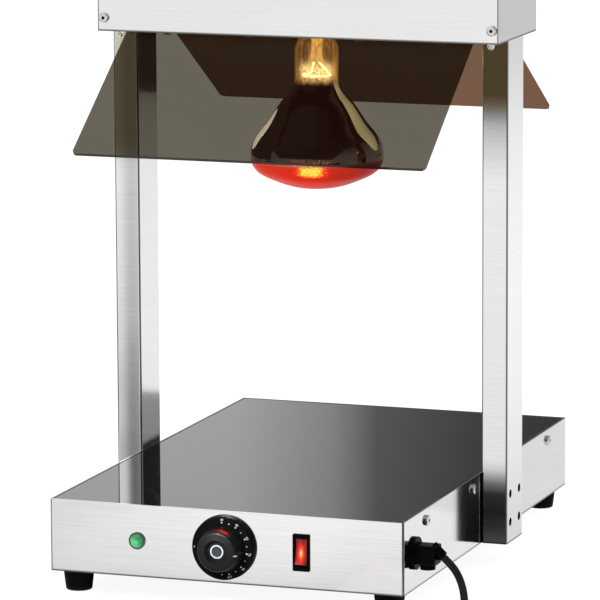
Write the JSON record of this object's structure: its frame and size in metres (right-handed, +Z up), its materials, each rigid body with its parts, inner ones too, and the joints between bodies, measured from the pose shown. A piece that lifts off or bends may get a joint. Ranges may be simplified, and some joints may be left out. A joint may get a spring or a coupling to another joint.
{
  "type": "heat lamp gantry",
  "caption": "Counter-top heat lamp gantry: warming base with black glass plate, side posts, and a head with an infrared lamp between sloping tinted breath shields.",
  "frame": {"origin": "on the floor under the middle of the gantry's bounding box, the loose cord left out", "axes": "+Z up; +Y from the control front to the rear; +X to the right of somebody facing the controls"},
  "size_m": [0.4372, 0.698, 0.5735],
  "materials": {
    "stainless_sheet": "fine brushed",
    "galvanised_sheet": "mill, zinc coated",
    "fastener_steel": "bright",
    "black_rubber": "matt",
    "black_silicone": "satin",
    "black_glass_ceramic": "polished",
    "heater_silicone": "fabric-marked",
    "insulation": "fibrous",
    "black_plastic": "satin",
    "black_gloss_plastic": "gloss",
    "copper": "drawn",
    "silver_trim": "metallised",
    "green_lens": "translucent",
    "red_rocker": "translucent, lit",
    "white_ceramic": "glazed ceramic",
    "black_cord": "satin PVC",
    "brass_pins": "nickel plated",
    "smoked_acrylic": "polished",
    "ruby_lamp_glass": "ruby front, mirrored cone, clear neck",
    "brass_cap": "pressed",
    "clear_glass": "clear",
    "tungsten": "drawn wire"
  },
  "bodies": {
    "gantry": {"base_casing": "stainless_sheet", "bottom_plate": "galvanised_sheet", "rubber_feet": "black_rubber", "foot_screws": "fastener_steel", "glass_frame": "galvanised_sheet", "glass_seal": "black_silicone", "glass_plate": "black_glass_ceramic", "heating_mat": "heater_silicone", "insulation_board": "insulation", "insulation_pan": "galvanised_sheet", "thermostat_body": "black_plastic", "thermostat_sensor": "copper", "sensor_clip": "galvanised_sheet", "dial_plate": "black_plastic", "pilot_lens": "green_lens", "pilot_body": "black_plastic", "switch_housing": "black_plastic", "terminal_block": "white_ceramic", "cord_gland": "black_plastic", "gland_clamp_screw": "fastener_steel", "gland_locknut": "black_plastic", "supply_lead": "black_cord", "power_cord": "black_cord", "cord_coil": "black_cord", "cord_tie": "black_cord", "plug_body": "black_rubber", "plug_pins": "brass_pins", "left_post": "stainless_sheet", "right_post": "stainless_sheet", "post_end_plugs": "black_plastic", "post_backing_plates": "galvanised_sheet", "post_screws": "fastener_steel", "cable_grommet": "black_rubber", "lamp_cable": "black_silicone", "head_cover": "stainless_sheet", "head_end_left": "stainless_sheet", "head_end_right": "stainless_sheet", "head_tray": "stainless_sheet", "post_brackets": "galvanised_sheet", "front_shield": "smoked_acrylic", "rear_shield": "smoked_acrylic", "lamp_bulb": "ruby_lamp_glass", "lamp_cap": "brass_cap", "lamp_stem": "clear_glass", "lamp_filament": "tungsten", "lamp_holder": "white_ceramic", "holder_bracket": "galvanised_sheet", "button_screws_m5": "fastener_steel", "hex_nuts_m5": "fastener_steel", "button_screws_m4": "fastener_steel", "hex_nuts_m4": "fastener_steel", "pan_screws_m4": "fastener_steel", "tray_cap_nuts": "fastener_steel"},
    "knob": {"control_knob": "black_gloss_plastic", "knob_cap": "silver_trim", "thermostat_spindle": "fastener_steel"},
    "rocker": {"switch_rocker": "red_rocker"}
  },
  "joints": [
    {"name": "knob_turn", "type": "hinge", "parent": "gantry", "child": "knob", "pos_m": [0, -0.245, 0.0535], "axis": [0, 1, 0], "range_deg": [-188, 82]},
    {"name": "rocker_tilt", "type": "hinge", "parent": "gantry", "child": "rocker", "pos_m": [0.0734, -0.2425, 0.0535], "axis": [1, 0, 0], "range_deg": [0, 22]}
  ]
}
